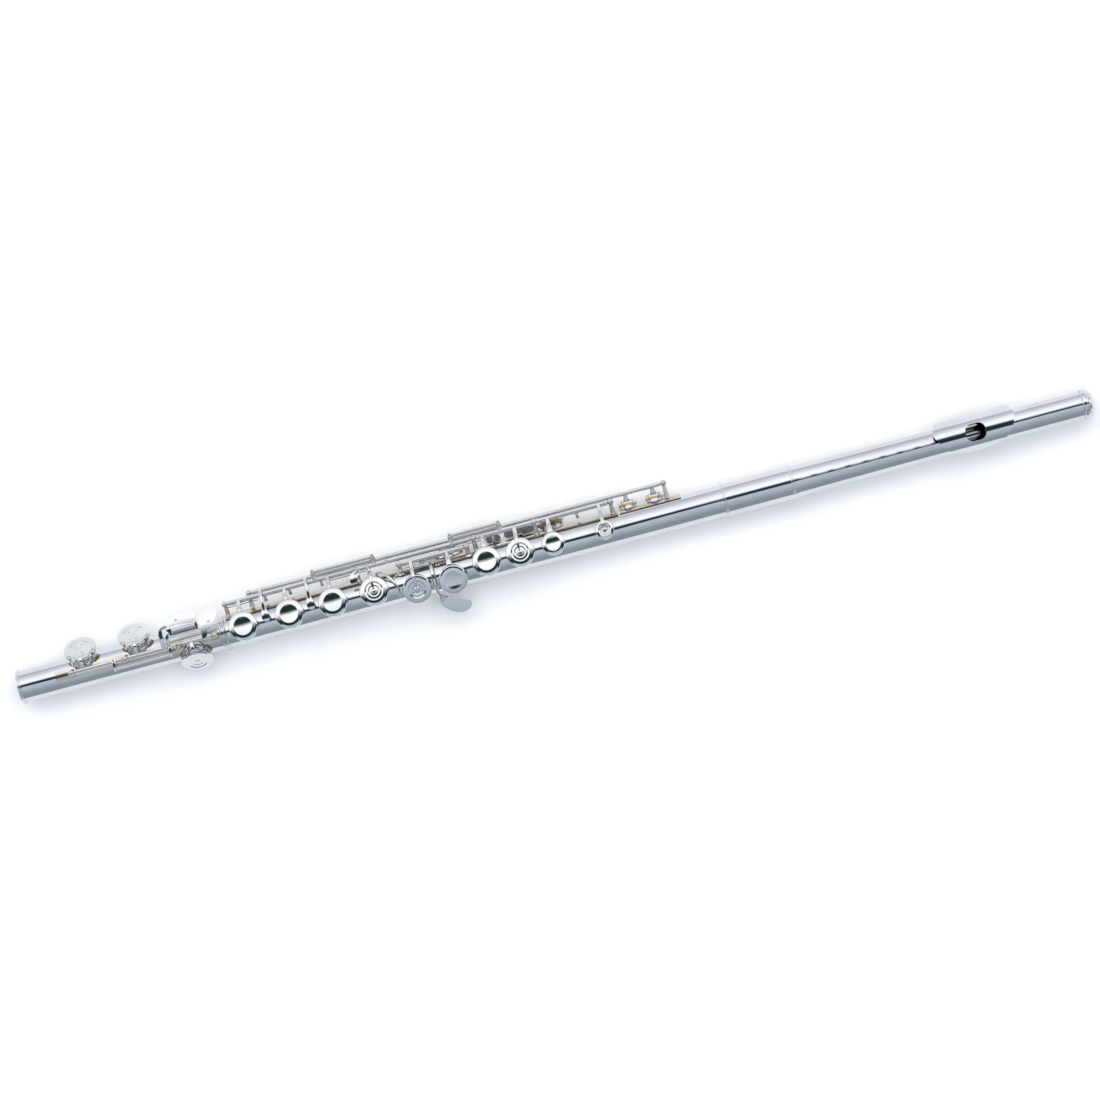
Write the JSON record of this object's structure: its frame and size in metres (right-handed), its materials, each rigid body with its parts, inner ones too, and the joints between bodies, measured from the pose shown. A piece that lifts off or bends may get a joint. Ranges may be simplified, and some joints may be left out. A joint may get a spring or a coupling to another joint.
{
  "type": "concert flute",
  "caption": "Transverse flute with closed holes, offset G keys and a C foot, in three sections with sprung keys, blow hole in a lip plate, and a screw crown.",
  "frame": {"origin": "centre of the open foot end, on the axis of the bore", "axes": "+X along the tube from the foot end to the crown, +Z along the main tone holes, +Y to the player's side where the hinge rods are"},
  "size_m": [0.6707, 0.0481, 0.0338],
  "materials": {
    "silver_tube": "mirror silver plate",
    "silver_keys": "mirror silver plate",
    "silver_posts": "polished silver plate",
    "silver_rings": "polished silver plate",
    "steel": "turned steel",
    "blued_spring": "blued steel",
    "pad_skin": "yellow skin over felt",
    "cork": "natural cork"
  },
  "bodies": {
    "body_joint": {"barrel": "silver_tube", "barrel_rings": "silver_rings", "body_posts": "silver_posts", "body_ribs": "silver_posts", "body_springs": "blued_spring", "body_tube": "silver_tube", "curved_guard_arm": "silver_keys", "g_sharp_steel": "steel", "main_steels": "steel", "offset_g_steel": "steel", "thumb_steel": "steel"},
    "d_body": {"d_key": "silver_keys", "d_pad": "pad_skin"},
    "e_body": {"e_key": "silver_keys", "e_pad": "pad_skin"},
    "f_body": {"f_key": "silver_keys", "f_pad": "pad_skin"},
    "f_sharp_body": {"f_sharp_key": "silver_keys", "f_sharp_pad": "pad_skin"},
    "b_flat_body": {"b_flat_key": "silver_keys", "b_flat_pad": "pad_skin", "b_flat_side_lever": "silver_keys"},
    "g_body": {"g_key": "silver_keys", "g_pads": "pad_skin"},
    "g_sharp_body": {"g_sharp_key": "silver_keys", "g_sharp_pad": "pad_skin"},
    "a_body": {"a_key": "silver_keys", "a_pad": "pad_skin"},
    "c_body": {"c_key": "silver_keys", "c_pads": "pad_skin"},
    "thumb_b_body": {"thumb_b_key": "silver_keys", "thumb_b_pad": "pad_skin"},
    "thumb_b_flat_body": {"thumb_b_flat_key": "silver_keys"},
    "trill_d_body": {"trill_d_key": "silver_keys", "trill_d_pad": "pad_skin"},
    "trill_d_sharp_body": {"trill_d_sharp_key": "silver_keys", "trill_d_sharp_pad": "pad_skin", "trill_steel": "steel"},
    "foot_c_body": {"foot_c_key": "silver_keys", "foot_c_pad": "pad_skin", "roller_pin": "steel"},
    "foot_c_sharp_body": {"foot_c_sharp_key": "silver_keys", "foot_c_sharp_pad": "pad_skin"},
    "foot_e_flat_body": {"foot_e_flat_key": "silver_keys", "foot_e_flat_pad": "pad_skin"},
    "foot_roller_body": {"foot_c_roller": "silver_keys"},
    "foot_joint": {"foot_tube": "silver_tube", "foot_end_ring": "silver_rings", "foot_receiver_ring": "silver_rings", "foot_rib": "silver_posts", "foot_posts": "silver_posts", "foot_steel": "steel", "foot_springs": "blued_spring"},
    "head_joint": {"head_tube": "silver_tube", "lip_plate": "silver_tube", "mouth_riser": "silver_tube"},
    "crown_body": {"crown": "silver_tube"},
    "stopper": {"stopper_cork": "cork", "stopper_plates": "steel", "stopper_screw": "steel"}
  },
  "joints": [
    {"name": "d_key_press", "type": "hinge", "parent": "body_joint", "child": "d_body", "pos_m": [0.148, 0.0168, 0.006], "axis": [1, 0, 0], "range_deg": [0, 9], "stiffness_Nm_per_rad": 0.02, "springref_deg": -20.05},
    {"name": "e_key_press", "type": "hinge", "parent": "body_joint", "child": "e_body", "pos_m": [0.174, 0.0168, 0.006], "axis": [1, 0, 0], "range_deg": [0, 9], "stiffness_Nm_per_rad": 0.02, "springref_deg": -20.05},
    {"name": "f_key_press", "type": "hinge", "parent": "body_joint", "child": "f_body", "pos_m": [0.2026, 0.0168, 0.006], "axis": [1, 0, 0], "range_deg": [0, 9], "stiffness_Nm_per_rad": 0.02, "springref_deg": -20.05},
    {"name": "f_sharp_key_press", "type": "hinge", "parent": "body_joint", "child": "f_sharp_body", "pos_m": [0.2216, 0.0168, 0.006], "axis": [1, 0, 0], "range_deg": [0, 9], "stiffness_Nm_per_rad": 0.02, "springref_deg": -20.05},
    {"name": "g_key_press", "type": "hinge", "parent": "body_joint", "child": "g_body", "pos_m": [0.2628, 0.013, 0.0103], "axis": [1, 0, 0], "range_deg": [0, 9], "stiffness_Nm_per_rad": 0.02, "springref_deg": -20.05},
    {"name": "g_sharp_key_press", "type": "hinge", "parent": "body_joint", "child": "g_sharp_body", "pos_m": [0.253, 0.009, 0.0082], "axis": [1, 0, 0], "range_deg": [0, 8], "stiffness_Nm_per_rad": 0.02, "springref_deg": -20.05},
    {"name": "a_key_press", "type": "hinge", "parent": "body_joint", "child": "a_body", "pos_m": [0.2975, 0.0168, 0.006], "axis": [1, 0, 0], "range_deg": [0, 9], "stiffness_Nm_per_rad": 0.02, "springref_deg": -20.05},
    {"name": "b_flat_key_press", "type": "hinge", "parent": "body_joint", "child": "b_flat_body", "pos_m": [0.2562, 0.0168, 0.006], "axis": [1, 0, 0], "range_deg": [0, 9], "stiffness_Nm_per_rad": 0.02, "springref_deg": -20.05},
    {"name": "c_key_press", "type": "hinge", "parent": "body_joint", "child": "c_body", "pos_m": [0.3504, 0.0168, 0.006], "axis": [1, 0, 0], "range_deg": [0, 9], "stiffness_Nm_per_rad": 0.02, "springref_deg": -20.05},
    {"name": "thumb_b_key_press", "type": "hinge", "parent": "body_joint", "child": "thumb_b_body", "pos_m": [0.3266, 0.0073, -0.0125], "axis": [1, 0, 0], "range_deg": [0, 7], "stiffness_Nm_per_rad": 0.02, "springref_deg": -20.05},
    {"name": "thumb_b_flat_press", "type": "hinge", "parent": "body_joint", "child": "thumb_b_flat_body", "pos_m": [0.2995, 0.0073, -0.0125], "axis": [1, 0, 0], "range_deg": [0, 7], "stiffness_Nm_per_rad": 0.02, "springref_deg": -20.05},
    {"name": "trill_d_key_press", "type": "hinge", "parent": "body_joint", "child": "trill_d_body", "pos_m": [0.284, 0.01965, 0.003], "axis": [1, 0, 0], "range_deg": [0, 7], "stiffness_Nm_per_rad": 0.02, "springref_deg": -20.05},
    {"name": "trill_d_sharp_key_press", "type": "hinge", "parent": "body_joint", "child": "trill_d_sharp_body", "pos_m": [0.278, 0.01965, 0.003], "axis": [1, 0, 0], "range_deg": [0, 7], "stiffness_Nm_per_rad": 0.02, "springref_deg": -20.05},
    {"name": "foot_c_key_press", "type": "hinge", "parent": "foot_joint", "child": "foot_c_body", "pos_m": [0.0515, 0.00065, 0.0163], "axis": [1, 0, 0], "range_deg": [-9, 0], "stiffness_Nm_per_rad": 0.02, "springref_deg": 20.05},
    {"name": "foot_c_sharp_key_press", "type": "hinge", "parent": "foot_joint", "child": "foot_c_sharp_body", "pos_m": [0.0826, 0.00065, 0.0163], "axis": [1, 0, 0], "range_deg": [-9, 0], "stiffness_Nm_per_rad": 0.02, "springref_deg": 20.05},
    {"name": "foot_e_flat_key_press", "type": "hinge", "parent": "foot_joint", "child": "foot_e_flat_body", "pos_m": [0.113, 0.00065, 0.0163], "axis": [1, 0, 0], "range_deg": [-8, 0], "stiffness_Nm_per_rad": 0.02, "springref_deg": 20.05},
    {"name": "foot_roller_spin", "type": "hinge", "parent": "foot_c_body", "child": "foot_roller_body", "pos_m": [0.1072, 0.0096, 0.0169], "axis": [1, 0, 0], "continuous": true},
    {"name": "foot_joint_turn", "type": "hinge", "parent": "body_joint", "child": "foot_joint", "pos_m": [0.1255, 0, 0], "axis": [1, 0, 0], "continuous": true},
    {"name": "head_joint_slide", "type": "slide", "parent": "body_joint", "child": "head_joint", "axis": [1, 0, 0], "range_m": [0, 0.02]},
    {"name": "crown_turn", "type": "hinge", "parent": "head_joint", "child": "crown_body", "pos_m": [0.665, 0, 0], "axis": [1, 0, 0], "range_deg": [0, 720]},
    {"name": "stopper_draw", "type": "slide", "parent": "head_joint", "child": "stopper", "axis": [1, 0, 0], "range_m": [0, 0.0016]}
  ],
  "couplings": [
    {"joint": "f_sharp_key_press", "follows": "f_key_press", "ratio": 1},
    {"joint": "b_flat_key_press", "follows": "a_key_press", "ratio": 1},
    {"joint": "crown_turn", "follows": "stopper_draw", "rad_per_m": 7854}
  ]
}
